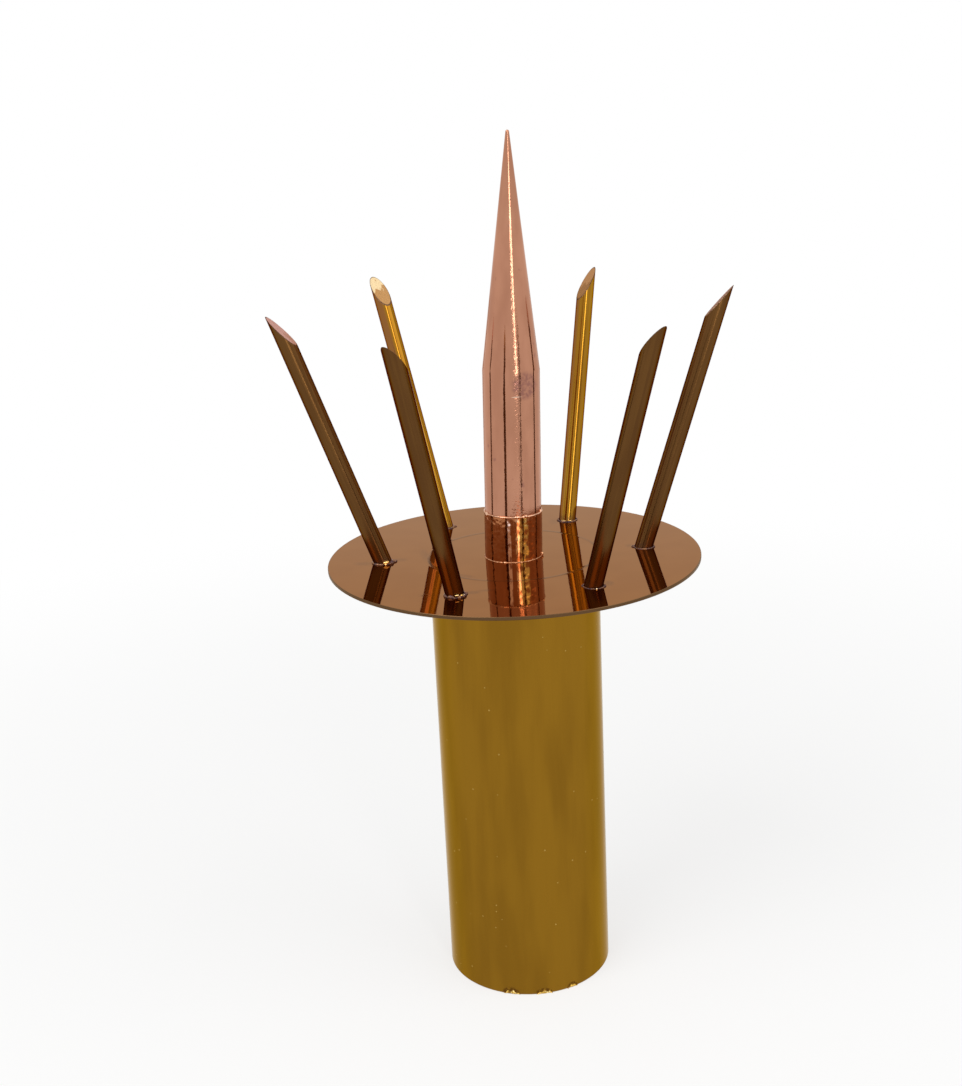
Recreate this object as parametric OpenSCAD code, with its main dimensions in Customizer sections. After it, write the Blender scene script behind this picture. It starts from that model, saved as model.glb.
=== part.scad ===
// Lightning rod: a socket tube that drops over a mast, a thin round plate on top of it,
// a tapered copper spike in a collar and a crown of leaning side points with ground slopes.
// Millimetres, +Z up, origin at the centre of the tube's open mouth.

/* [Tube] */
// Outer diameter of the tube
tube_d = 76; // [60:0.5:100]
// Wall of the tube
tube_wall = 1.6; // [1:0.1:3]
// Length of the tube, from its mouth to the plate
tube_len = 200; // [120:1:300]
// Chamfer on the outer edge of the tube's mouth
tube_chamfer = 0.4; // [0.1:0.1:0.8]
// Leg of the hollow braze fillet between tube and plate
tube_fillet = 2; // [1:0.1:4]

/* [Plate] */
// Diameter of the plate
plate_d = 166; // [150:1:220]
// Thickness of the plate
plate_t = 1.5; // [1:0.1:4]
// Chamfer on both edges of the plate
plate_chamfer = 0.2; // [0.1:0.05:0.4]

/* [Spike] */
// Diameter of the spike's shaft
spike_d = 25; // [20:0.5:32]
// Height of the spike's shoulder above the plate
shoulder_h = 83.5; // [50:0.5:120]
// Length of the taper, from the shoulder to the tip
taper_len = 99.5; // [60:0.5:140]
// Radius of the rounded tip
tip_r = 0.8; // [0.4:0.1:2]
// Diameter of the spigot that sits in the collar
spigot_d = 18; // [10:0.5:19]
// Lean of the spike and its collar towards +X, in degrees
spike_lean = 1.4; // [0:0.1:3]

/* [Collar] */
// Height of the collar's rim above the plate
collar_h = 20.5; // [12:0.5:40]
// Step from the shaft out to the collar, on the radius
collar_step = 0.3; // [0.1:0.05:0.5]
// Radius of the braze bead on the collar's rim
rim_bead_r = 0.7; // [0.6:0.1:1.2]
// Leg of the braze fillet round the collar's foot, where it is smallest
collar_fillet = 0.8; // [0.4:0.1:2]
// Clearance between the spigot and the collar, on the radius
spigot_gap = 0.05; // [0.02:0.01:0.2]
// Room left between the spigot's end and the plate
spigot_end_gap = 0.8; // [0.6:0.1:2]

/* [Side points] */
// Number of side points
point_count = 6; // [3:1:8]
// Diameter of a side point's bar
point_d = 8; // [5:0.5:12]
// Distance of the feet's circle from the plate's edge
foot_inset = 24.5; // [12:0.5:36]
// Direction of the first foot, from +X towards +Y, in degrees
first_foot_turn = 3.7; // [0:0.1:60]
// Length of a bar, from the plate to its point
point_len = 121; // [80:1:160]
// Lean of a bar, outwards from upright, in degrees
point_lean = 19; // [8:0.5:30]
// Length of the slope ground on a bar's end
slope_len = 16.3; // [8:0.1:30]
// Width of the braze bead round a foot, beyond the bar
bead_w = 1.3; // [0.8:0.1:2]
// Height of the braze bead against the bar
bead_h = 1.3; // [0.8:0.1:2]

/* [Hand setting of each side point] */
// Difference in length
len_off = [0.5, 0, 4, -1.5, 0, 0]; // [-4:0.5:4]
// Turn of the foot round its circle, in degrees
foot_off = [0, -0.5, 0, 0, 1, 0]; // [-3:0.5:3]
// Difference in lean, in degrees
lean_off = [-1.5, -5, 1, 0, 2.5, 1]; // [-6:0.5:6]
// Turn of the lean away from straight out, in degrees
sway = [0, -2, 7, 1.5, 2.5, 2.5]; // [-10:0.5:10]
// Turn of the ground slope about the bar, in degrees
slope_turn = [-9, -31, -8, -11, -10, 4]; // [-45:1:45]

/* [Hidden] */
$fn = 96;
tube_r = tube_d / 2;
plate_r = plate_d / 2;
plate_top = tube_len + plate_t;
spike_r = spike_d / 2;
spigot_r = spigot_d / 2;
collar_r = spike_r + collar_step;
point_r = point_d / 2;
foot_circle_r = plate_r - foot_inset;
brass = [0.78, 0.58, 0.16];
bronze = [0.62, 0.42, 0.24];
copper = [0.80, 0.50, 0.38];
dark_braze = [0.30, 0.19, 0.13];

// A value from a hand setting list, for bar i
function setting(list, i) = list[i % len(list)];

function bar_lean(i) = point_lean + setting(lean_off, i);

function bar_len(i) = point_len + setting(len_off, i);

// Half the long axis of the oval that bar i makes on the plate
function foot_r(i) = point_r / cos(bar_lean(i));

// Everything below the plate's top face, to cut a leaning foot flush with it
module below_plate() {
    translate([0, 0, plate_top - plate_r]) cylinder(h = plate_r, r = plate_r);
}

// Frame of the spike and its collar: +Z along the spike, origin on the plate
module on_spike_axis() {
    translate([0, 0, plate_top]) rotate([0, spike_lean, 0]) children();
}

// Upright frame at the foot of bar i, with +X the way the bar leans
module at_foot(i) {
    turn = first_foot_turn + i * 360 / point_count + setting(foot_off, i);
    translate([0, 0, plate_top])
        rotate(turn) translate([foot_circle_r, 0, 0]) rotate(setting(sway, i)) children();
}

// Ring with a hollow fillet section in the corner between a post and the face z = 0
module fillet_ring(post_r, leg) {
    rotate_extrude() translate([post_r, 0]) difference() {
        square(leg);
        translate([leg, leg]) circle(leg);
    }
}

module body_tube() {
    bore_r = tube_r - tube_wall;
    color(brass) rotate_extrude() polygon([
        [bore_r, 0],
        [tube_r - tube_chamfer, 0],
        [tube_r, tube_chamfer],
        [tube_r, tube_len],
        [bore_r, tube_len]
    ]);
}

module tube_weld() {
    color(dark_braze) translate([0, 0, tube_len]) mirror([0, 0, 1]) fillet_ring(tube_r, tube_fillet);
}

module top_plate() {
    color(bronze) translate([0, 0, tube_len]) rotate_extrude() polygon([
        [0, 0],
        [plate_r - plate_chamfer, 0],
        [plate_r, plate_chamfer],
        [plate_r, plate_t - plate_chamfer],
        [plate_r - plate_chamfer, plate_t],
        [0, plate_t]
    ]);
}

// The tip's ball lies on the taper: its centre is one ball radius below the spike's end
module spike() {
    tip_z = shoulder_h + taper_len - tip_r;
    half_angle = atan2(spike_r - tip_r, taper_len - tip_r);
    color(copper) on_spike_axis() {
        rotate_extrude() polygon([
            [0, spigot_end_gap],
            [spigot_r, spigot_end_gap],
            [spigot_r, collar_h],
            [spike_r, collar_h],
            [spike_r, shoulder_h],
            [tip_r * cos(half_angle), tip_z + tip_r * sin(half_angle)],
            [0, tip_z + tip_r * sin(half_angle)]
        ]);
        translate([0, 0, tip_z]) sphere(tip_r);
    }
}

module spike_collar() {
    color(copper) difference() {
        on_spike_axis() translate([0, 0, -collar_h]) cylinder(h = 2 * collar_h, r = collar_r);
        on_spike_axis() translate([0, 0, -2 * collar_h]) cylinder(h = 4 * collar_h, r = spigot_r + spigot_gap);
        below_plate();
    }
}

// Half-round bead over the joint between the collar's rim and the shaft
module spike_braze() {
    color(copper) on_spike_axis() rotate_extrude() difference() {
        translate([spike_r, collar_h]) circle(rim_bead_r);
        square([spike_r, shoulder_h]);
        square([collar_r, collar_h]);
    }
}

// Sloped fillet that reaches below the plate and is cut flush with it, because the collar leans
module collar_braze() {
    drop = (collar_r + collar_fillet) * tan(spike_lean);
    leg = collar_fillet + drop;
    color(dark_braze) difference() {
        on_spike_axis() rotate_extrude() polygon([
            [collar_r, leg],
            [collar_r, -drop],
            [collar_r + leg + drop, -drop]
        ]);
        below_plate();
    }
}

// Round bar along +Z whose end is ground to a slope: the point on +X, the heel on -X
module pointed_bar(length, sunk, turn) {
    slope = norm([point_d, slope_len]);
    rotate(turn) difference() {
        translate([0, 0, -sunk]) cylinder(h = length + sunk, r = point_r);
        translate([point_r, 0, length]) rotate([0, -atan2(slope_len, point_d), 0])
            translate([-2 * slope, -point_d, 0]) cube([3 * slope, 2 * point_d, slope]);
    }
}

module side_point(i) {
    color(brass) difference() {
        at_foot(i) rotate([0, bar_lean(i), 0]) pointed_bar(bar_len(i), point_d, setting(slope_turn, i));
        below_plate();
    }
}

// Bulging bead: the cap of a ball, as wide and as high at the bar as the settings say
module point_weld(i) {
    outer_r = foot_r(i) + bead_w;
    depth = (outer_r ^ 2 - foot_r(i) ^ 2 - bead_h ^ 2) / (2 * bead_h);
    color(dark_braze) difference() {
        at_foot(i) translate([0, 0, -depth]) sphere(norm([outer_r, depth]));
        at_foot(i) rotate([0, bar_lean(i), 0]) cylinder(h = 4 * point_d, r = point_r, center = true);
        below_plate();
    }
}

body_tube();
tube_weld();
top_plate();
spike();
spike_collar();
spike_braze();
collar_braze();
for (i = [0:point_count - 1]) {
    side_point(i);
    point_weld(i);
}
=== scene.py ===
# Lightning rod: the finish of its metals, its braze and its ground points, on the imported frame
import math
import bpy
from mathutils import Matrix, Vector


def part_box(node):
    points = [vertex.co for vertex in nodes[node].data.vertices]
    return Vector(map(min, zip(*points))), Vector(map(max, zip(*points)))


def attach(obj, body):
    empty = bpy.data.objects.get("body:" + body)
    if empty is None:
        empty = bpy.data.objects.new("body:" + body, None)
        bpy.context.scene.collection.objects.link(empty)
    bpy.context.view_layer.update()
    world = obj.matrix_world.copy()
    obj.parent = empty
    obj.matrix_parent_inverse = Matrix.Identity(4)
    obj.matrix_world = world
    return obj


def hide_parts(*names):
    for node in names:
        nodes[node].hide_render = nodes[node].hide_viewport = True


mm = 0.001

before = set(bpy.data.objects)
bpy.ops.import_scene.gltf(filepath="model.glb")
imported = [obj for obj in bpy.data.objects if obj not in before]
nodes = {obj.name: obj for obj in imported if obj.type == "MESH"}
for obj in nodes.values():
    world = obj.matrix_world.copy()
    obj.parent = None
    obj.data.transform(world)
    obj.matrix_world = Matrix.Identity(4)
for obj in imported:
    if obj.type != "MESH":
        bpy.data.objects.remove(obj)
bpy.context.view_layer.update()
bpy.ops.object.select_all(action="DESELECT")  # the loaded nodes come in selected
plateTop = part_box("top_plate")[1].z
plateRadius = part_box("top_plate")[1].x
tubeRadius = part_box("body_tube")[1].x
print("frame loaded,", len(nodes), "nodes, plate top at", round(plateTop / mm, 2), "mm")


# Camera at the photo's viewing angle
cameraView = {
    "place": (0, -632, 398.3),  # mm
    "yaw": -0.0228,  # radians, to the right of straight ahead
    "pitch": 0.2933,  # down from level
    "roll": -0.0478,
    "focal": 1479.75,  # pixels of the frame below
    "frameHeight": 1086,
    "sensor": 36,  # mm, on the frame's long side
}


def makeCamera(view):
    yaw, pitch, roll = view["yaw"], view["pitch"], view["roll"]
    ahead = Vector((math.sin(yaw) * math.cos(pitch), math.cos(yaw) * math.cos(pitch), -math.sin(pitch)))
    level = Vector((math.cos(yaw), -math.sin(yaw), 0))
    upright = level.cross(ahead)
    right = level * math.cos(roll) + upright * math.sin(roll)
    top = upright * math.cos(roll) - level * math.sin(roll)
    turn = Matrix((right, top, -ahead)).transposed().to_4x4()
    bpy.ops.object.camera_add()
    camera = bpy.context.object
    camera.name = "viewCamera"
    camera.matrix_world = Matrix.Translation(Vector(view["place"]) * mm) @ turn
    camera.data.sensor_width = view["sensor"]
    camera.data.lens = view["focal"] / view["frameHeight"] * view["sensor"]
    camera.data.clip_start = 10 * mm
    bpy.context.scene.camera = camera


makeCamera(cameraView)
print("camera set")


# Small helpers for materials
def newMaterial(name):
    material = bpy.data.materials.new(name)
    material.use_nodes = True
    tree = material.node_tree
    tree.nodes.clear()
    return material, tree


def addNode(tree, kind, **values):
    node = tree.nodes.new("ShaderNode" + kind)
    node.location = (len(tree.nodes) * 180 - 1600, 0)
    for key, value in values.items():
        setattr(node, key, value)
    return node


def feed(tree, value, socket):  # a link, a colour or a plain number
    if isinstance(value, bpy.types.NodeSocket):
        tree.links.new(value, socket)
    elif socket.type == "RGBA":
        socket.default_value = (*value, 1)
    else:
        socket.default_value = value


def setMaterial(obj, *materials):
    obj.data.materials.clear()
    for material in materials:
        obj.data.materials.append(material)


def placeOn(tree, stretch=(1, 1, 1), at=(0, 0, 0), turn=(0, 0, 0)):  # the piece's own coordinates
    coords = addNode(tree, "TexCoord")
    mapping = addNode(tree, "Mapping", vector_type="TEXTURE")
    mapping.inputs["Location"].default_value = at
    mapping.inputs["Rotation"].default_value = turn
    mapping.inputs["Scale"].default_value = stretch
    feed(tree, coords.outputs["Object"], mapping.inputs["Vector"])
    return mapping.outputs["Vector"]


def cloud(tree, place, scale, detail=3.0):
    node = addNode(tree, "TexNoise")
    node.inputs["Scale"].default_value = scale
    node.inputs["Detail"].default_value = detail
    feed(tree, place, node.inputs["Vector"])
    return node.outputs["Fac"]


def spot(tree, at, size, turn=0.0):  # 1 in the middle of an oval place, 0 outside it
    node = addNode(tree, "TexGradient", gradient_type="SPHERICAL")
    feed(tree, placeOn(tree, size, at, (0, 0, turn)), node.inputs["Vector"])
    return node.outputs["Fac"]


def figure(tree, operation, first, second=0.0):
    node = addNode(tree, "Math", operation=operation)
    feed(tree, first, node.inputs[0])
    feed(tree, second, node.inputs[1])
    return node.outputs[0]


def spread(tree, value, low, high, toLow=0.0, toHigh=1.0):
    node = addNode(tree, "MapRange", interpolation_type="SMOOTHSTEP")
    for name, number in (("From Min", low), ("From Max", high), ("To Min", toLow), ("To Max", toHigh)):
        node.inputs[name].default_value = number
    feed(tree, value, node.inputs["Value"])
    return node.outputs["Result"]


def mixColour(tree, share, low, high):
    node = addNode(tree, "Mix", data_type="RGBA")
    feed(tree, share, node.inputs[0])
    feed(tree, low, node.inputs[6])
    feed(tree, high, node.inputs[7])
    return node.outputs[2]


def relief(tree, height, depth, under=None):
    node = addNode(tree, "Bump")
    node.inputs["Distance"].default_value = depth
    feed(tree, height, node.inputs["Height"])
    if under is not None:
        feed(tree, under, node.inputs["Normal"])
    return node.outputs["Normal"]


def heightOf(tree):
    coords = addNode(tree, "TexCoord")
    parts = addNode(tree, "SeparateXYZ")
    feed(tree, coords.outputs["Object"], parts.inputs[0])
    return parts.outputs["Z"]


def metalShader(tree, edge):
    shader = addNode(tree, "BsdfPrincipled")
    shader.inputs["Metallic"].default_value = 1
    shader.inputs["Specular Tint"].default_value = (*edge, 1)
    out = addNode(tree, "OutputMaterial")
    feed(tree, shader.outputs["BSDF"], out.inputs["Surface"])
    return shader


def dress(tree, shader, colour, rough, normal):
    feed(tree, colour, shader.inputs["Base Color"])
    feed(tree, rough, shader.inputs["Roughness"])
    feed(tree, normal, shader.inputs["Normal"])


# Small helpers for modelling
def focus(*pieces):
    bpy.ops.object.select_all(action="DESELECT")
    for piece in pieces:
        piece.select_set(True)
    bpy.context.view_layer.objects.active = pieces[0]


def settle():
    bpy.ops.object.transform_apply(location=True, rotation=True, scale=True)


def editAll(piece):
    focus(piece)
    bpy.ops.object.mode_set(mode="EDIT")
    bpy.ops.mesh.select_all(action="SELECT")


def endEdit():
    bpy.ops.object.mode_set(mode="OBJECT")


def pickFaces(piece, wanted):
    focus(piece)
    bpy.ops.object.mode_set(mode="EDIT")
    bpy.ops.mesh.select_mode(type="FACE")
    bpy.ops.mesh.select_all(action="DESELECT")
    bpy.ops.object.mode_set(mode="OBJECT")
    for face in piece.data.polygons:
        face.select = wanted(face)
    bpy.ops.object.mode_set(mode="EDIT")


def pickEdges(piece, wanted):
    focus(piece)
    bpy.ops.object.mode_set(mode="EDIT")
    bpy.ops.mesh.select_mode(type="EDGE")
    bpy.ops.mesh.select_all(action="DESELECT")
    bpy.ops.object.mode_set(mode="OBJECT")
    corners = piece.data.vertices
    for edge in piece.data.edges:
        edge.select = wanted(corners[edge.vertices[0]].co, corners[edge.vertices[1]].co)
    bpy.ops.object.mode_set(mode="EDIT")


def applyModifier(piece, kind, **values):
    modifier = piece.modifiers.new(kind.lower(), kind)
    for key, value in values.items():
        setattr(modifier, key, value)
    focus(piece)
    bpy.ops.object.modifier_apply(modifier=modifier.name)


def roughen(piece, size, depth, name):  # small lumps all over, by an applied displacement
    texture = bpy.data.textures.new(name, "CLOUDS")
    texture.noise_scale = size
    texture.noise_depth = 2
    applyModifier(piece, "DISPLACE", texture=texture, texture_coords="LOCAL", strength=depth, mid_level=0.5)


def copyNode(nodeName, pieceName):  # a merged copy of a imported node, with its flat faces whole
    piece = bpy.data.objects.new(pieceName, nodes[nodeName].data.copy())
    bpy.context.collection.objects.link(piece)
    focus(piece)
    bpy.ops.mesh.customdata_custom_splitnormals_clear()
    editAll(piece)
    bpy.ops.mesh.remove_doubles(threshold=0.002 * mm)
    bpy.ops.mesh.dissolve_limited(angle_limit=math.radians(0.3))
    endEdit()
    return piece


def fuse(parts, name, voxel, rounds):  # lumps run into one skin
    focus(*parts)
    bpy.ops.object.join()
    piece = bpy.context.object
    piece.name = name
    settle()
    piece.data.remesh_voxel_size = voxel
    bpy.ops.object.voxel_remesh()
    applyModifier(piece, "SMOOTH", iterations=rounds, factor=0.5)
    return piece


def trimBelow(piece, height):
    editAll(piece)
    bpy.ops.mesh.bisect(plane_co=(0, 0, height), plane_no=(0, 0, 1), clear_inner=True, use_fill=True)
    endEdit()


def trimOpen(piece, height):
    editAll(piece)
    bpy.ops.mesh.bisect(plane_co=(0, 0, height), plane_no=(0, 0, 1), clear_inner=True, use_fill=False)
    endEdit()


def smoothFlat(piece, angle):  # smooth, with the large faces keeping their own normals
    focus(piece)
    bpy.ops.object.shade_smooth_by_angle(angle=math.radians(angle))
    applyModifier(piece, "WEIGHTED_NORMAL", mode="FACE_AREA", weight=100, keep_sharp=True)


def lump(place, size, turn=0.0):  # a flattened drop; size is its half extents
    bpy.ops.object.select_all(action="DESELECT")
    bpy.ops.mesh.primitive_ico_sphere_add(subdivisions=3, radius=1, location=place)
    part = bpy.context.object
    part.scale = size
    part.rotation_euler = (0, 0, turn)
    settle()
    return part


def place(piece, slot, *stoodFor):
    bpy.ops.object.select_all(action="DESELECT")
    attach(piece, "root")
    if stoodFor:
        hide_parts(*stoodFor)
# A plain pale floor and plain soft studio light
stage = {
    "floorSize": 6.0,  # m
    "floorColour": (0.93, 0.93, 0.92),
    "paleShare": (0.65, 1.0),  # how much of the floor's look is plain white, near the object and far off
    "paleReach": (0.22, 0.80),  # m
    "fillLight": 0.55,
}

# Soft lamps: place and size in m, power in W
lamps = {
    "keyLamp": ((-0.9, -0.9, 1.5), (1.2, 1.2), 14),
    "fillLamp": ((1.1, -0.5, 1.3), (1.4, 1.4), 7),
    "stripLamp": ((0.36, -1.05, 0.55), (0.16, 0.9), 2.2),
}


def seenPlainly(tree):  # by the camera, or in metal and glass
    path = addNode(tree, "LightPath")
    first = figure(tree, "MAXIMUM", path.outputs["Is Camera Ray"], path.outputs["Is Glossy Ray"])
    return figure(tree, "MAXIMUM", first, path.outputs["Is Transmission Ray"])


def makeFloor():
    bpy.ops.mesh.primitive_plane_add(size=stage["floorSize"])
    floor = bpy.context.object
    floor.name = "floor"
    material, tree = newMaterial("paleFloor")
    length = addNode(tree, "VectorMath", operation="LENGTH")
    feed(tree, placeOn(tree), length.inputs[0])
    pale = spread(tree, length.outputs["Value"], *stage["paleReach"], *stage["paleShare"])
    matt = addNode(tree, "BsdfDiffuse")
    matt.inputs["Color"].default_value = (*stage["floorColour"], 1)
    white = addNode(tree, "Emission")
    mixed = addNode(tree, "MixShader")
    out = addNode(tree, "OutputMaterial")
    feed(tree, figure(tree, "MULTIPLY", seenPlainly(tree), pale), mixed.inputs["Fac"])
    feed(tree, matt.outputs["BSDF"], mixed.inputs[1])
    feed(tree, white.outputs["Emission"], mixed.inputs[2])
    feed(tree, mixed.outputs["Shader"], out.inputs["Surface"])
    setMaterial(floor, material)


def makeLight():
    world = bpy.data.worlds.new("paleRoom")
    bpy.context.scene.world = world
    world.use_nodes = True
    tree = world.node_tree
    tree.nodes.clear()
    fill = addNode(tree, "Background")
    fill.inputs["Color"].default_value = (1, 1, 1, 1)
    fill.inputs["Strength"].default_value = stage["fillLight"]
    white = addNode(tree, "Background")
    white.inputs["Color"].default_value = (1, 1, 1, 1)
    mixed = addNode(tree, "MixShader")
    out = addNode(tree, "OutputWorld")
    feed(tree, seenPlainly(tree), mixed.inputs["Fac"])
    feed(tree, fill.outputs["Background"], mixed.inputs[1])
    feed(tree, white.outputs["Background"], mixed.inputs[2])
    feed(tree, mixed.outputs["Shader"], out.inputs["Surface"])
    for name, (at, size, power) in lamps.items():
        bpy.ops.object.light_add(type="AREA", location=at)
        lamp = bpy.context.object
        lamp.name = name
        lamp.data.shape = "RECTANGLE"
        lamp.data.size, lamp.data.size_y = size
        lamp.data.energy = power
        lamp.rotation_euler = Vector(at).to_track_quat("Z", "Y").to_euler()
        lamp.visible_camera = False


makeFloor()
makeLight()
bpy.context.scene.view_settings.view_transform = "Standard"
print("stage set")


# Tube: bright drawn brass with fine lines along it, a few specks and painted shade round the torn lips of its
# mouth
tubeLook = {
    "gold": (0.27, 0.135, 0.012),
    "deep": (0.225, 0.110, 0.010),
    "speck": (0.50, 0.33, 0.09),
    "edge": (0.9, 0.75, 0.5),
    "rough": (0.10, 0.20),
    # painted shade: dark veins round the torn lips
    "lipShade": (0.13, 0.055, 0.008),
    "rippleDepth": 0.05,  # mm
    # Places by the torn lips on the mouth's edge, where dark veins of painted shade go: turn from the front in
    # degrees, half width and height in mm
    "tears": [(-14.5, 5.2, 4.6), (8.5, 5.2, 3.8), (30, 3.6, 3.6)],
    # Ripples in the drawn skin: turn from the front in degrees, height, half width, half length in mm, strength
    "ripples": [(13, 100, 4.0, 150, 1.0), (4, 80, 2.5, 110, 0.8), (27, 30, 7.0, 70, 1.6),
                (-25, 35, 5.0, 60, 1.4), (-29, 140, 2.5, 70, 0.5), (-10, 185, 4.0, 45, 0.6)],
}


def onTube(turn, height):  # a place on the tube's skin, by its turn from the front
    return tubeRadius * math.sin(turn), -tubeRadius * math.cos(turn), height


def makeTubeBrass(look):
    material, tree = newMaterial("tubeBrass")
    shader = metalShader(tree, look["edge"])
    lines = cloud(tree, placeOn(tree, (1, 1, 45)), 1500, 2)
    broad = cloud(tree, placeOn(tree, (1, 1, 6)), 70)
    scuffs = spread(tree, cloud(tree, placeOn(tree, (1, 1, 5)), 420, 4), 0.66, 0.74)
    cells = addNode(tree, "TexVoronoi")
    cells.inputs["Scale"].default_value = 230
    feed(tree, placeOn(tree), cells.inputs["Vector"])
    chosen = spread(tree, cells.outputs["Color"], 0.60, 0.62)
    dots = figure(tree, "MULTIPLY", spread(tree, cells.outputs["Distance"], 0.05, 0.10, 1, 0), chosen)
    colour = mixColour(tree, spread(tree, broad, 0.35, 0.65), look["deep"], look["gold"])
    colour = mixColour(tree, dots, colour, look["speck"])
    crumbs = cloud(tree, placeOn(tree), 640, 2)
    veins = spread(tree, figure(tree, "ABSOLUTE", figure(tree, "SUBTRACT", crumbs, 0.5)), 0.04, 0.10, 1, 0)
    # Painted shade in dark crumbly veins round the torn lips
    lipShade = 0.0
    for turn, half, tall in look["tears"]:
        way = math.radians(turn)
        tear = spot(tree, onTube(way, 0), (half * mm, half * mm, tall * mm), way)
        lipShade = figure(tree, "MAXIMUM", spread(tree, tear, 0.1, 0.3), lipShade)
    lipShade = figure(tree, "MULTIPLY", lipShade, veins)
    colour = mixColour(tree, lipShade, colour, look["lipShade"])
    rough = spread(tree, lines, 0.35, 0.65, *look["rough"])
    rough = figure(tree, "ADD", rough, figure(tree, "MULTIPLY", scuffs, 0.08))
    rough = figure(tree, "ADD", rough, figure(tree, "MULTIPLY", lipShade, 0.4))
    rough = figure(tree, "ADD", rough, figure(tree, "MULTIPLY", dots, 0.45))
    rippled = 0.0
    for turn, height, wide, long, strength in look["ripples"]:
        at = onTube(math.radians(turn), height * mm)
        patch = spread(tree, spot(tree, at, (wide * mm, wide * mm, long * mm)), 0, 0.7)
        rippled = figure(tree, "MAXIMUM", figure(tree, "MULTIPLY", patch, strength), rippled)
    ripple = cloud(tree, placeOn(tree, (1, 1, 2.0)), 760, 3)
    normal = relief(tree, lines, 0.003 * mm, relief(tree, broad, 0.03 * mm))
    normal = relief(tree, figure(tree, "MULTIPLY", ripple, rippled), look["rippleDepth"] * mm, normal)
    dress(tree, shader, colour, rough, normal)
    return material


# Plate: mirror polished, with a painted dark reflection at its edge, the print of the tube's braze and stains
# by the feet
plateLook = {
    "bronze": (0.275, 0.098, 0.020),
    "warm": (0.26, 0.090, 0.017),
    "stain": (0.13, 0.05, 0.02),
    # painted dark reflection on the plate's outer edge
    "rim": (0.12, 0.065, 0.03),
    "edge": (0.85, 0.75, 0.65),
    "rough": (0.02, 0.06),
    "printRadius": 38.0,  # mm
    "printHalf": (0.35, 1.3),  # mm, its dark middle and its soft side
    # x, y, half length, half width in mm, turn in degrees, strength
    "stains": [(-67, -5, 7, 4, -8, 0.35), (-51, -1.5, 5, 3.5, 0, 0.4), (-18, -51, 6, 3, 4, 0.55),
               (-12, -49, 7, 2, 3, 0.45), (-37, -52, 5, 4, 0, 0.25), (39, -46, 3.4, 5, 0, 0.55),
               (52, 6, 2.6, 4, 0, 0.35), (-40, 4, 3, 14, 8, 0.35), (20, 50, 4, 7, 0, 0.3),
               (-22, -28, 9, 2.5, -30, 0.4)],
}


def makePlateBronze(look):
    material, tree = newMaterial("plateBronze")
    shader = metalShader(tree, look["edge"])
    length = addNode(tree, "VectorMath", operation="LENGTH")
    feed(tree, placeOn(tree, (1, 1, 1000)), length.inputs[0])
    radius = length.outputs["Value"]
    # the outer edge, where a dark reflection is painted on
    rim = spread(tree, radius, plateRadius - 0.45 * mm, plateRadius - 0.1 * mm)
    soft = cloud(tree, placeOn(tree), 55)
    fine = cloud(tree, placeOn(tree), 600, 4)
    off = figure(tree, "SUBTRACT", radius, look["printRadius"] * mm)
    dark, side = look["printHalf"]
    ring = spread(tree, figure(tree, "ABSOLUTE", off), dark * mm, side * mm, 1, 0)
    ring = figure(tree, "MULTIPLY", ring, spread(tree, soft, 0.36, 0.62, 0.35, 1))
    stain = figure(tree, "MULTIPLY", ring, 0.95)
    for x, y, long, wide, turn, strength in look["stains"]:
        mark = spot(tree, (x * mm, y * mm, plateTop), (long * mm, wide * mm, 0.5 * mm), math.radians(turn))
        mark = figure(tree, "MULTIPLY", spread(tree, mark, 0.05, 0.75), strength)
        mark = figure(tree, "MULTIPLY", mark, spread(tree, fine, 0.3, 0.6, 0.5, 1))
        stain = figure(tree, "MAXIMUM", stain, mark)
    colour = mixColour(tree, spread(tree, soft, 0.35, 0.65), look["warm"], look["bronze"])
    colour = mixColour(tree, stain, colour, look["stain"])
    colour = mixColour(tree, rim, colour, look["rim"])
    rough = spread(tree, fine, 0.35, 0.7, *look["rough"])
    rough = figure(tree, "ADD", rough, figure(tree, "MULTIPLY", stain, 0.12))
    rough = figure(tree, "ADD", rough, figure(tree, "MULTIPLY", rim, 0.3))
    normal = relief(tree, ring, 0.03 * mm, relief(tree, soft, 0.02 * mm))
    dress(tree, shader, colour, rough, normal)
    return material


# Spike: turned copper, rings round it and faint lines along it
spikeLook = {
    "copper": (0.50, 0.235, 0.145),
    "dark": (0.42, 0.19, 0.115),
    "spot": (0.24, 0.10, 0.085),
    "tick": (0.72, 0.50, 0.38),
    "edge": (0.95, 0.85, 0.8),
    "rough": (0.045, 0.10),
    "ringsApart": 0.42,  # mm
    "creaseDepth": 0.06,  # mm, small creases along the shaft
    "chatterDepth": 0.075,  # mm, the tool's marks on the right of the front
    "lean": 1.4,  # degrees
    "shoulder": 0.45,  # mm, how far its edge is broken
    "shoulderAt": 83.5,  # mm above the plate
    "shaftRadius": 12.0,  # mm, just under the real one, to find the shoulder
}


def onSpike():  # the spike's leaning frame, with its origin on the plate
    return Matrix.Translation((0, 0, plateTop)) @ Matrix.Rotation(math.radians(spikeLook["lean"]), 4, "Y")


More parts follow.
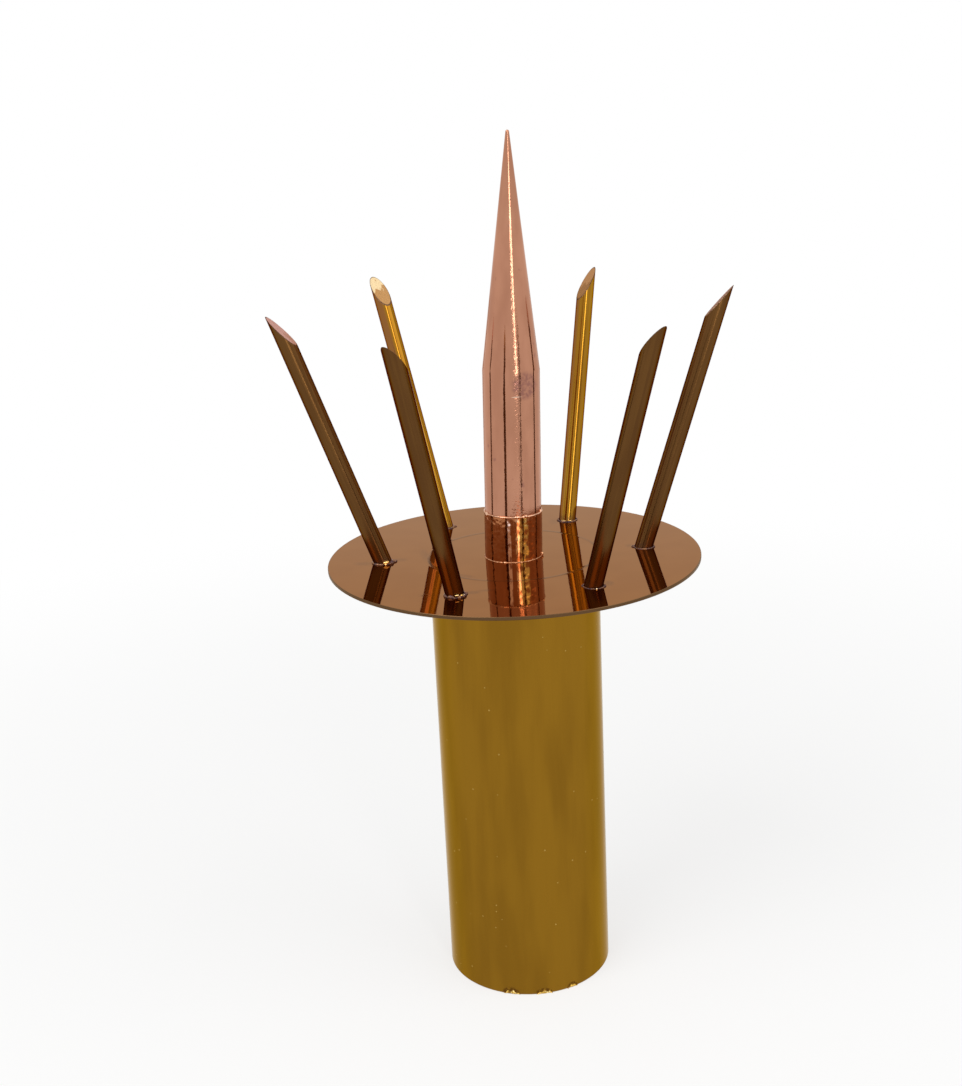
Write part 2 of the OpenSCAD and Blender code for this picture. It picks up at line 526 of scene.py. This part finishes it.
def makeSpikeCopper(look):
    material, tree = newMaterial("spikeCopper")
    shader = metalShader(tree, look["edge"])
    upright = (0, math.radians(look["lean"]), 0)
    foot = (0, 0, plateTop)
    rings = addNode(tree, "TexWave", bands_direction="Z")
    rings.inputs["Scale"].default_value = 2 * math.pi / 20 / (look["ringsApart"] * mm)
    rings.inputs["Distortion"].default_value = 2.5
    rings.inputs["Detail"].default_value = 2
    rings.inputs["Detail Scale"].default_value = 0.6
    feed(tree, placeOn(tree, at=foot, turn=upright), rings.inputs["Vector"])
    lines = cloud(tree, placeOn(tree, (1, 1, 14), foot, upright), 900)
    grain = cloud(tree, placeOn(tree), 2200, 2)
    sweep = addNode(tree, "TexGradient", gradient_type="RADIAL")
    feed(tree, placeOn(tree, at=foot, turn=upright), sweep.inputs["Vector"])
    off = figure(tree, "ABSOLUTE", figure(tree, "SUBTRACT", sweep.outputs["Fac"], 0.276))
    chatter = figure(tree, "MULTIPLY", cloud(tree, placeOn(tree, (1.1, 1.1, 0.8), foot, upright), 1000, 3),
                     spread(tree, off, 0.018, 0.050, 1, 0.08))
    parts = addNode(tree, "SeparateXYZ")
    feed(tree, placeOn(tree, at=foot, turn=upright), parts.inputs[0])
    shaftEnd = look["shoulderAt"]
    onShaft = spread(tree, parts.outputs["Z"], (shaftEnd - 9) * mm, (shaftEnd - 1) * mm, 1, 0)
    left = figure(tree, "ABSOLUTE", figure(tree, "SUBTRACT", sweep.outputs["Fac"], 0.196))
    creased = figure(tree, "MAXIMUM", spread(tree, off, 0.014, 0.05, 1, 0),
                     spread(tree, left, 0.006, 0.016, 0.5, 0))
    creases = cloud(tree, placeOn(tree, (1, 1, 2.6), foot, upright), 1000, 3)
    creases = figure(tree, "MULTIPLY", creases, figure(tree, "MULTIPLY", creased, onShaft))
    broad = cloud(tree, placeOn(tree, (1, 1, 3), foot, upright), 130)
    blots = spread(tree, cloud(tree, placeOn(tree, (1, 1, 1.6)), 260, 3), 0.66, 0.76)
    colour = mixColour(tree, spread(tree, broad, 0.3, 0.7), look["dark"], look["copper"])
    colour = mixColour(tree, figure(tree, "MULTIPLY", blots, 0.5), colour, look["spot"])
    tick = spot(tree, (3.9 * mm, -12 * mm, plateTop + 73.6 * mm), (3.0 * mm, 4 * mm, 0.3 * mm))
    stained = spot(tree, (7.5 * mm, -10 * mm, plateTop + 78 * mm), (7.5 * mm, 6 * mm, 7 * mm))
    stained = figure(tree, "MULTIPLY", spread(tree, stained, 0.02, 0.35),
                     spread(tree, cloud(tree, placeOn(tree), 700, 3), 0.35, 0.65, 0.25, 0.75))
    colour = mixColour(tree, stained, colour, look["spot"])
    colour = mixColour(tree, spread(tree, tick, 0.1, 0.5), colour, look["tick"])
    worn = figure(tree, "ADD", lines, figure(tree, "MULTIPLY", grain, 0.6))
    rough = spread(tree, worn, 0.55, 1.05, *look["rough"])
    normal = relief(tree, rings.outputs["Fac"], 0.0016 * mm, relief(tree, grain, 0.0025 * mm))
    normal = relief(tree, chatter, look["chatterDepth"] * mm, normal)
    normal = relief(tree, creases, look["creaseDepth"] * mm, normal)
    normal = relief(tree, lines, 0.003 * mm, normal)
    dress(tree, shader, colour, rough, normal)
    return material


def makeSpike(look):
    spike = copyNode("spike", "turnedSpike")
    corners = [vertex.co for vertex in spike.data.vertices]
    shoulderAt = max(c.z for c in corners if math.hypot(c.x, c.y) > look["shaftRadius"] * mm)

    def onShoulder(a, b):
        lean = math.sin(math.radians(look["lean"]))
        wide = min(math.hypot(c.x - lean * (c.z - plateTop), c.y) for c in (a, b))
        return wide > (look["shaftRadius"] + 0.3) * mm and min(a.z, b.z) > shoulderAt - 1.2 * mm

    pickEdges(spike, onShoulder)
    bpy.ops.mesh.bevel(offset=look["shoulder"] * mm, segments=3, affect="EDGES")
    endEdit()
    axis = onSpike().to_3x3() @ Vector((0, 0, 1))
    for off in (-1.0, 1.0):  # loops beside the shoulder keep the shading of shaft and taper apart
        editAll(spike)
        beside = onSpike() @ Vector((0, 0, (look["shoulderAt"] + off) * mm))
        bpy.ops.mesh.bisect(plane_co=beside, plane_no=axis)
        endEdit()
    smoothFlat(spike, 20)
    setMaterial(spike, makeSpikeCopper(look))
    place(spike, "spike_copper", "spike")


# Side points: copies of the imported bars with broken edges, streaked brass and a face from the grinding wheel
barLook = {
    # Lit and shaded copies of one brass: the back bars' copy is painted light and the other bars' copy is
    # painted shade
    "paintedLitBrass": {"brass": (0.38, 0.19, 0.018), "brown": (0.28, 0.125, 0.012), "rough": (0.08, 0.15)},
    "paintedShadedBrass": {"brass": (0.135, 0.062, 0.018), "brown": (0.105, 0.046, 0.014), "rough": (0.20, 0.32)},
    # painted shade: the colour that darkens one side of the back bars
    "paintedSideShade": (0.26, 0.11, 0.032),
    "heat": (0.085, 0.040, 0.026),
    "burr": (0.17, 0.095, 0.055),
    "paleBurr": (0.42, 0.26, 0.15),
    "edge": (0.32, 0.20, 0.15),
    "heatHeight": 5,  # mm above the plate
    "broken": 0.25,  # mm, on the edge of the ground face
    "rimmed": (3.6, 3.9),  # mm from the bar's middle, where the face darkens to its edge
}

# Node, piece, its brass (a painted lit or painted shaded copy), from where its left side is darkened as painted
# shade in mm, the ground face's pale and brown, and how far up the bar the brown reaches in mm
bars = [
    ("side_point_1", "barRight", "paintedShadedBrass", None, (0.72, 0.46, 0.36), (0.45, 0.27, 0.17), 100),
    ("side_point_2", "barBackRight", "paintedLitBrass", (2.1, 3.3), (0.55, 0.31, 0.16), (0.40, 0.22, 0.11), 112),
    ("side_point_3", "barBackLeft", "paintedLitBrass", (-0.2, 0.8), (0.92, 0.72, 0.42), (0.52, 0.28, 0.11), 118),
    ("side_point_4", "barLeft", "paintedShadedBrass", None, (0.85, 0.55, 0.50), (0.70, 0.42, 0.34), 108),
    ("side_point_5", "barFrontLeft", "paintedShadedBrass", None, (0.50, 0.32, 0.14), (0.34, 0.20, 0.09), 110),
    ("side_point_6", "barFrontRight", "paintedShadedBrass", None, (0.50, 0.32, 0.14), (0.34, 0.20, 0.09), 110),
]


def barLine(nodeName):  # the middle of its foot and the way it leans
    mesh = nodes[nodeName].data
    feet = [v.co for v in mesh.vertices if v.co.z < plateTop + 0.02 * mm]
    along = Vector()
    for edge in mesh.edges:
        first, second = (mesh.vertices[i].co for i in edge.vertices)
        if (second - first).length > 80 * mm:
            step = (second - first).normalized()
            along += step if step.z > 0 else -step
    low = Vector(min(c[i] for c in feet) for i in range(3))
    high = Vector(max(c[i] for c in feet) for i in range(3))
    return (low + high) / 2, along.normalized()


def makeBarBrass(name, foot, turn, along, look, brass, paintedSideShade):
    material, tree = newMaterial(name + "Brass")
    shader = metalShader(tree, look["edge"])
    streaks = cloud(tree, placeOn(tree, (1, 1, 70), foot, turn), 1100, 2)
    broad = cloud(tree, placeOn(tree, (1, 1, 8), foot, turn), 160)
    grain = cloud(tree, placeOn(tree), 1800, 2)
    above = figure(tree, "SUBTRACT", heightOf(tree), plateTop)
    heat = spread(tree, above, 0, look["heatHeight"] * mm, 1, 0)
    heat = figure(tree, "MULTIPLY", heat, spread(tree, grain, 0.3, 0.7))
    tint = figure(tree, "ADD", figure(tree, "MULTIPLY", broad, 0.6), figure(tree, "MULTIPLY", streaks, 0.4))
    colour = mixColour(tree, spread(tree, tint, 0.38, 0.62), brass["brown"], brass["brass"])
    # Painted shade: the bar's left side is darkened from the given distance on
    if paintedSideShade:
        leftwards = (Vector((-1, 0, 0)) - along * along.dot(Vector((-1, 0, 0)))).normalized()
        side = addNode(tree, "VectorMath", operation="DOT_PRODUCT")
        feed(tree, placeOn(tree, at=foot), side.inputs[0])
        feed(tree, leftwards, side.inputs[1])
        darkened = spread(tree, side.outputs["Value"], paintedSideShade[0] * mm, paintedSideShade[1] * mm)
        colour = mixColour(tree, darkened, colour, look["paintedSideShade"])
    colour = mixColour(tree, heat, colour, look["heat"])
    rough = spread(tree, streaks, 0.35, 0.65, *brass["rough"])
    rough = figure(tree, "ADD", rough, figure(tree, "MULTIPLY", heat, 0.15))
    normal = relief(tree, streaks, 0.0025 * mm, relief(tree, grain, 0.0015 * mm))
    dress(tree, shader, colour, rough, normal)
    return material


def makeBurr(name, look, colour):  # the line round a ground face
    material, tree = newMaterial(name)
    shader = metalShader(tree, look["edge"])
    grain = cloud(tree, placeOn(tree), 1800, 2)
    dress(tree, shader, mixColour(tree, spread(tree, grain, 0.35, 0.65), look["heat"], colour),
          spread(tree, grain, 0.3, 0.7, 0.28, 0.42), relief(tree, grain, 0.01 * mm))
    return material


def makeGroundFace(name, foot, turn, pale, brown, reach):
    material, tree = newMaterial(name + "Ground")
    shader = metalShader(tree, barLook["edge"])
    scratches = cloud(tree, placeOn(tree, (1, 14, 1), foot, turn), 1500, 2)
    blots = cloud(tree, placeOn(tree, (1, 1, 2.4), foot, turn), 330, 4)
    parts = addNode(tree, "SeparateXYZ")
    feed(tree, placeOn(tree, at=foot, turn=turn), parts.inputs[0])
    wander = figure(tree, "MULTIPLY", figure(tree, "SUBTRACT", blots, 0.5), 26 * mm)
    up = figure(tree, "ADD", parts.outputs["Z"], wander)
    darkened = spread(tree, up, (reach - 1.2) * mm, (reach + 1.2) * mm, 1, 0.12)
    colour = mixColour(tree, darkened, pale, brown)
    length = addNode(tree, "VectorMath", operation="LENGTH")
    feed(tree, placeOn(tree, (1, 1, 1000), foot, turn), length.inputs[0])
    edged = spread(tree, length.outputs["Value"], *(reached * mm for reached in barLook["rimmed"]))
    colour = mixColour(tree, edged, colour, barLook["burr"])
    rough = spread(tree, scratches, 0.3, 0.7, 0.22, 0.40)
    normal = relief(tree, scratches, 0.006 * mm, relief(tree, blots, 0.006 * mm))
    dress(tree, shader, colour, rough, normal)
    return material


def makeBars():
    darkBurr = makeBurr("darkBurr", barLook, barLook["burr"])
    paleBurr = makeBurr("paleBurr", barLook, barLook["paleBurr"])
    for nodeName, name, brass, paintedSideShade, pale, brown, reach in bars:
        foot, along = barLine(nodeName)
        turn = along.to_track_quat("Z", "Y").to_euler()
        bar = copyNode(nodeName, name)
        setMaterial(bar, makeBarBrass(name, foot, turn, along, barLook, barLook[brass], paintedSideShade),
                    makeGroundFace(name, foot, turn, pale, brown, reach),
                    paleBurr if name == "barRight" else darkBurr)
        slope = max((f for f in bar.data.polygons if f.area > 40 * mm * mm and f.center.z > plateTop + 50 * mm),
                    key=lambda f: abs(f.normal.dot(along)))
        slope.material_index = 1
        chosen = slope.index
        pickFaces(bar, lambda face: face.index == chosen)
        bpy.ops.mesh.region_to_loop()
        bpy.ops.mesh.bevel(offset=barLook["broken"] * mm, segments=2, affect="EDGES", material=2)
        endEdit()
        smoothFlat(bar, 35)
        place(bar, "point_brass", nodeName)


# Braze: dark, heat stained, with painted glints as bright specks
brazeLook = {
    "dark": (0.075, 0.042, 0.045),
    "brown": (0.24, 0.12, 0.06),
    "paintedGlint": (0.85, 0.60, 0.30),
    "edge": (0.9, 0.8, 0.8),
}
brightBraze = {
    "dark": (0.85, 0.52, 0.14),
    "brown": (0.95, 0.70, 0.32),
    "paintedGlint": (0.98, 0.85, 0.62),
    "edge": (0.95, 0.9, 0.8),
}
plateBraze = {
    "dark": (0.26, 0.15, 0.07),
    "brown": (0.55, 0.33, 0.10),
    "paintedGlint": (0.85, 0.60, 0.28),
    "edge": (0.9, 0.8, 0.7),
}


def makeBraze(name, look, paintedGlintFrom):
    material, tree = newMaterial(name)
    shader = metalShader(tree, look["edge"])
    patches = cloud(tree, placeOn(tree), 700)
    grain = cloud(tree, placeOn(tree), 2400, 2)
    # painted glints: bright specks that stand in for highlights on the lumps
    paintedGlints = spread(tree, cloud(tree, placeOn(tree), 1300, 2), paintedGlintFrom, paintedGlintFrom + 0.04)
    colour = mixColour(tree, spread(tree, patches, 0.4, 0.62), look["dark"], look["brown"])
    colour = mixColour(tree, paintedGlints, colour, look["paintedGlint"])
    rough = spread(tree, grain, 0.3, 0.7, 0.22, 0.42)
    rough = figure(tree, "SUBTRACT", rough, figure(tree, "MULTIPLY", paintedGlints, 0.12))
    normal = relief(tree, grain, 0.02 * mm, relief(tree, patches, 0.06 * mm))
    dress(tree, shader, colour, rough, normal)
    return material


# Beads round the feet. Directions: 0 is +X, -90 is towards the camera. Lumps: direction, distance beyond the
# bar, half length along the ring, half width, height, all in mm
beads = [
    ("point_weld_1", "side_point_1", "beadRight", 0.42, [(176, 0.5, 0.8, 0.9, 0.7), (-12, 0.3, 1.1, 0.7, 0.9),
     (-95, 0.0, 1.2, 0.5, 0.5)]),
    ("point_weld_2", "side_point_2", "beadBackRight", 0.62, [(178, 0.4, 0.9, 0.7, 0.9),
     (-5, 0.3, 0.8, 0.6, 0.9), (-120, 0.1, 1.5, 0.6, 0.8), (-60, 0.1, 1.3, 0.6, 0.7)]),
    ("point_weld_3", "side_point_3", "beadBackLeft", 0.60, [(0, 0.6, 0.8, 1.2, 0.6), (-80, 0.2, 1.3, 0.7, 0.8),
     (170, 0.3, 1.0, 0.8, 0.8)]),
    ("point_weld_4", "side_point_4", "beadLeft", 0.62, [(-160, 0.2, 1.4, 0.7, 0.9), (-125, 0.3, 1.6, 0.8, 0.9),
     (-95, 0.3, 1.2, 0.8, 0.8), (-28, 0.5, 1.2, 1.0, 1.5), (0, 0.7, 0.8, 1.5, 1.0), (8, 1.3, 0.5, 1.0, 0.6),
     (60, 0.2, 1.2, 0.7, 0.8)]),
    ("point_weld_5", "side_point_5", "beadFrontLeft", 0.58, [(-150, 0.2, 1.4, 0.7, 1.2),
     (-110, 0.2, 1.7, 0.7, 1.3), (-60, 0.5, 1.3, 0.9, 1.3), (-25, 0.5, 1.1, 0.9, 1.4), (5, 0.5, 1.0, 0.9, 0.9),
     (100, 0.2, 1.2, 0.6, 0.6)]),
    ("point_weld_6", "side_point_6", "beadFrontRight", 0.40, [(-10, 0.5, 1.0, 0.8, 0.9),
     (-30, 0.4, 0.9, 0.6, 0.7), (175, 0.3, 0.9, 0.6, 0.6), (-100, 0.1, 1.3, 0.5, 0.5)]),
]

beadMake = {"barRadius": 4.0, "voxel": 0.13, "rounds": 4, "grain": 0.9, "grainDepth": 0.10}  # mm


def makeBeads():
    finish = makeBraze("darkBraze", brazeLook, 0.70)
    for weld, bar, name, width, lumps in beads:
        foot, along = barLine(bar)
        radius = beadMake["barRadius"]
        bpy.ops.object.select_all(action="DESELECT")
        bpy.ops.mesh.primitive_torus_add(major_segments=64, minor_segments=12, location=foot,
                                         major_radius=(radius + width * 0.25) * mm, minor_radius=width * mm)
        ring = bpy.context.object
        outwards = math.atan2(along.y, along.x)
        ring.rotation_euler = (0, 0, outwards)
        ring.scale = (1 / along.z, 1, 1)  # the leaning bar meets the plate in an oval
        settle()
        parts = [ring]
        for direction, beyond, long, wide, tall in lumps:
            way = math.radians(direction)
            oval = radius / math.sqrt(1 - (1 - along.z ** 2) * math.cos(way - outwards) ** 2)
            at = foot + Vector((math.cos(way), math.sin(way), 0)) * (oval + beyond) * mm
            parts.append(lump(at, (wide * mm, long * mm, tall * mm), way))
        bead = fuse(parts, name, beadMake["voxel"] * mm, beadMake["rounds"])
        roughen(bead, beadMake["grain"] * mm, beadMake["grainDepth"] * mm, name + "Grain")
        trimBelow(bead, plateTop)
        focus(bead)
        bpy.ops.object.shade_smooth()
        setMaterial(bead, finish)
        place(bead, "dark_braze", weld)


# Drops of bright braze: bar, direction, distance beyond the bar, height, half sizes along, across and up, in mm
drops = [
    ("side_point_4", -62, 0.9, 1.0, 1.5, 0.9, 0.75),
    ("side_point_4", -70, 1.5, 0.35, 0.6, 0.5, 0.4),
    ("side_point_5", -50, 1.1, 1.0, 0.55, 0.4, 0.4),
    ("side_point_5", -75, 1.1, 1.35, 0.9, 0.35, 0.35),
    ("side_point_6", -78, 1.2, 0.2, 0.4, 0.35, 0.4),
    ("side_point_2", -118, 0.45, 0.55, 1.3, 0.4, 0.35),
    ("side_point_2", -75, 0.45, 0.5, 0.9, 0.4, 0.35),
]

dropMake = {"sunk": 0.35, "grain": 0.8, "grainDepth": 0.16}  # mm


def makeDrops():
    parts = []
    for bar, direction, beyond, height, long, wide, tall in drops:
        foot, along = barLine(bar)
        way = math.radians(direction)
        off = beadMake["barRadius"] + beyond - dropMake["sunk"]
        at = foot + along * (height / along.z) * mm + Vector((math.cos(way), math.sin(way), 0)) * off * mm
        parts.append(lump(at, (wide * mm, long * mm, tall * mm), way))
    focus(*parts)
    bpy.ops.object.join()
    piece = bpy.context.object
    piece.name = "brazeDrops"
    roughen(piece, dropMake["grain"] * mm, dropMake["grainDepth"] * mm, "dropShape")
    trimBelow(piece, plateTop)
    focus(piece)
    bpy.ops.object.shade_smooth()
    setMaterial(piece, makeBraze("brightBraze", brightBraze, 0.62))
    place(piece, "dark_braze")


# Collar: a copper sleeve with shallow dents, a bead on its rim painted bright as a highlight, and a thin uneven
# foot
collarLook = {
    "radius": 12.8,  # mm
    "height": 20.5,
    "wall": 3.6,
    "dents": [(2.6, 0.11), (1.1, 0.05)],  # size and depth of the larger and the smaller ones
    "copper": (0.42, 0.16, 0.065),
    "dark": (0.34, 0.12, 0.045),
    # Painted highlights, ragged bright streaks down its front: x, y and half width in mm, and its colour
    "paintedHighlights": [(-1.7, -12.7, 0.9, (0.95, 0.70, 0.62)), (2.2, -12.6, 1.4, (0.97, 0.72, 0.48)),
             (4.9, -12.0, 2.3, (0.95, 0.76, 0.27))],
    "edge": (0.95, 0.85, 0.8),
}


def makeCollarCopper(name, look, rough):
    material, tree = newMaterial(name)
    shader = metalShader(tree, look["edge"])
    broad = cloud(tree, placeOn(tree, (1, 1, 4)), 240)
    lines = cloud(tree, placeOn(tree, (1, 1, 12)), 1100, 2)
    grain = cloud(tree, placeOn(tree), 1500, 3)
    colour = mixColour(tree, spread(tree, broad, 0.35, 0.65), look["dark"], look["copper"])
    raggedness = cloud(tree, placeOn(tree, (1, 1, 1.7)), 420, 3)
    # painted highlights: ragged bright streaks down the collar's front
    for x, y, wide, highlightColour in look.get("paintedHighlights", []):
        highlightShare = spot(tree, (x * mm, y * mm, plateTop + 9 * mm), (wide * mm, 4 * mm, 24 * mm))
        highlightShare = figure(tree, "MULTIPLY", spread(tree, highlightShare, 0.0, 0.3), spread(tree, raggedness, 0.40, 0.54, 0.1, 1))
        colour = mixColour(tree, highlightShare, colour, highlightColour)
    roughness = spread(tree, lines, 0.35, 0.65, *rough)
    normal = relief(tree, grain, 0.006 * mm, relief(tree, lines, 0.003 * mm))
    dress(tree, shader, colour, roughness, normal)
    return material


def makeCollar(look):
    bpy.ops.object.select_all(action="DESELECT")
    radius, height = look["radius"] * mm, look["height"] * mm
    bpy.ops.mesh.primitive_cylinder_add(vertices=192, radius=radius, depth=height + 2 * mm,
                                        end_fill_type="NOTHING", location=(0, 0, height / 2 - 1 * mm))
    collar = bpy.context.object
    collar.name = "collarSleeve"
    settle()
    pickEdges(collar, lambda a, b: abs(a.z - b.z) > 1 * mm)
    bpy.ops.mesh.subdivide(number_cuts=60)
    endEdit()
    for count, (size, depth) in enumerate(look["dents"]):
        roughen(collar, size * mm, depth * mm, "collarDents" + str(count))
    collar.data.transform(onSpike())
    trimOpen(collar, plateTop)
    applyModifier(collar, "SOLIDIFY", thickness=look["wall"] * mm, offset=-1)
    trimBelow(collar, plateTop)
    focus(collar)
    bpy.ops.object.shade_smooth_by_angle(angle=math.radians(40))
    setMaterial(collar, makeCollarCopper("collarCopper", look, (0.06, 0.14)))
    place(collar, "collar_copper", "spike_collar")


# Bead on the collar's rim. Bulges: turn from the front in degrees, height off the rim, half length, width and
# height in mm
rimBead = {
    "radius": 12.62,
    "thick": 0.42,
    "bulges": [(-20, 0, 2.6, 0.55, 0.5), (8, 0.05, 1.3, 0.62, 0.75), (24, 0.1, 1.5, 0.62, 0.75),
               (-66, -0.3, 1.6, 0.5, 1.2), (-78, 0.1, 1.0, 0.5, 0.7), (72, 0.3, 0.7, 0.6, 1.0),
               (120, 0, 2.0, 0.5, 0.6), (175, 0.1, 2.4, 0.55, 0.6), (-130, -0.1, 1.6, 0.5, 0.7)],
    # painted highlight: the bead's copper is far lighter than the collar's
    "copper": (0.75, 0.45, 0.30),
    "dark": (0.62, 0.34, 0.21),
    "edge": (0.97, 0.9, 0.85),
}


def ringLumps(radius, bulges, height):
    parts = []
    for turn, up, long, wide, tall in bulges:
        way = math.radians(turn - 90)
        at = (radius * math.cos(way) * mm, radius * math.sin(way) * mm, (height + up) * mm)
        parts.append(lump(at, (wide * mm, long * mm, tall * mm), way))
    return parts


def makeRimBead(look):
    bpy.ops.object.select_all(action="DESELECT")
    height = collarLook["height"]
    bpy.ops.mesh.primitive_torus_add(major_segments=160, minor_segments=12, location=(0, 0, height * mm),
                                     major_radius=look["radius"] * mm, minor_radius=look["thick"] * mm)
    ring = bpy.context.object
    settle()
    bead = fuse([ring, *ringLumps(look["radius"], look["bulges"], height)], "rimBead", 0.15 * mm, 4)
    roughen(bead, 1.1 * mm, 0.14 * mm, "rimBeadGrain")
    bead.data.transform(onSpike())
    focus(bead)
    bpy.ops.object.shade_smooth()
    setMaterial(bead, makeCollarCopper("rimCopper", look, (0.10, 0.22)))
    place(bead, "collar_copper", "spike_braze")


collarFoot = {
    "radius": 12.85,
    "thick": 0.26,
    "bulges": [(-40, 0, 2.2, 0.4, 0.3), (-18, 0.1, 1.0, 0.5, 0.5), (-2, 0.1, 0.7, 0.5, 0.5),
               (40, 0.1, 0.8, 0.5, 0.6), (76, 0.7, 0.6, 0.8, 0.9), (110, 0, 1.8, 0.5, 0.5),
               (170, 0, 2.4, 0.5, 0.5), (-110, 0, 1.6, 0.45, 0.5)],
    "dark": (0.38, 0.17, 0.08),
    "brown": (0.66, 0.34, 0.18),
    "paintedGlint": (0.80, 0.48, 0.28),
    "edge": (0.95, 0.85, 0.8),
}


def makeCollarFoot(look):
    bpy.ops.object.select_all(action="DESELECT")
    bpy.ops.mesh.primitive_torus_add(major_segments=160, minor_segments=10, location=(0, 0, 0.05 * mm),
                                     major_radius=look["radius"] * mm, minor_radius=look["thick"] * mm)
    ring = bpy.context.object
    settle()
    foot = fuse([ring, *ringLumps(look["radius"], look["bulges"], 0)], "collarFoot", 0.11 * mm, 3)
    roughen(foot, 0.8 * mm, 0.10 * mm, "collarFootGrain")
    foot.data.transform(Matrix.Translation((0, 0, plateTop)))
    trimBelow(foot, plateTop)
    focus(foot)
    bpy.ops.object.shade_smooth()
    setMaterial(foot, makeBraze("footBraze", look, 0.66))
    place(foot, "dark_braze", "collar_braze")


# Torn lips on the tube's mouth: turn from the front, half width in degrees, height in mm
mouthLips = {
    "lips": [(-14, 6.0, 2.2), (9, 5.5, 1.9), (30, 4.0, 1.6), (150, 4, 1.5)],
    "proud": 0.45,  # mm
    "sheet": 0.18,  # mm
    "dark": (0.34, 0.18, 0.03),
    "brown": (0.74, 0.47, 0.09),
    "paintedGlint": (0.98, 0.80, 0.34),
    "edge": (0.9, 0.75, 0.5),
}


def makeMouthLips(look):
    parts = []
    for count, (turn, half, tall) in enumerate(look["lips"]):
        bpy.ops.object.select_all(action="DESELECT")
        bpy.ops.mesh.primitive_grid_add(x_subdivisions=28, y_subdivisions=12, size=1)
        lip = bpy.context.object
        for corner in lip.data.vertices:
            across, up = corner.co.x * 2, corner.co.y + 0.5
            way = math.radians(turn - 90 + across * half)
            top = tall * (1 - abs(across) ** 1.5) * (0.7 + 0.3 * math.sin(9 * across + count * 1.7))
            bulge = math.sin(math.pi * min(1, up * 1.2))
            out = look["proud"] * bulge * (0.5 + 0.5 * math.sin(7 * across + count))
            reach = tubeRadius - 0.05 * mm + max(0.0, out) * mm
            corner.co = (reach * math.cos(way), reach * math.sin(way), (0.25 + max(0.15, top) * up) * mm)
        parts.append(lip)
    focus(*parts)
    bpy.ops.object.join()
    piece = bpy.context.object
    piece.name = "mouthLips"
    settle()
    editAll(piece)
    bpy.ops.mesh.normals_make_consistent(inside=False)
    endEdit()
    roughen(piece, 1.0 * mm, 0.30 * mm, "lipTears")
    applyModifier(piece, "SOLIDIFY", thickness=look["sheet"] * mm, offset=0)
    focus(piece)
    bpy.ops.object.shade_smooth()
    setMaterial(piece, makeBraze("tornBrass", look, 0.56))
    place(piece, "tube_brass")


setMaterial(nodes["body_tube"], makeTubeBrass(tubeLook))
setMaterial(nodes["top_plate"], makePlateBronze(plateLook))
setMaterial(nodes["tube_weld"], makeBraze("plateBraze", plateBraze, 0.68))
print("tube, plate and under braze finished")
makeSpike(spikeLook)
makeCollar(collarLook)
makeRimBead(rimBead)
makeCollarFoot(collarFoot)
print("spike and collar made")
makeBars()
print("bars made")
makeBeads()
makeDrops()
print("braze made")
makeMouthLips(mouthLips)
print("mouth made")
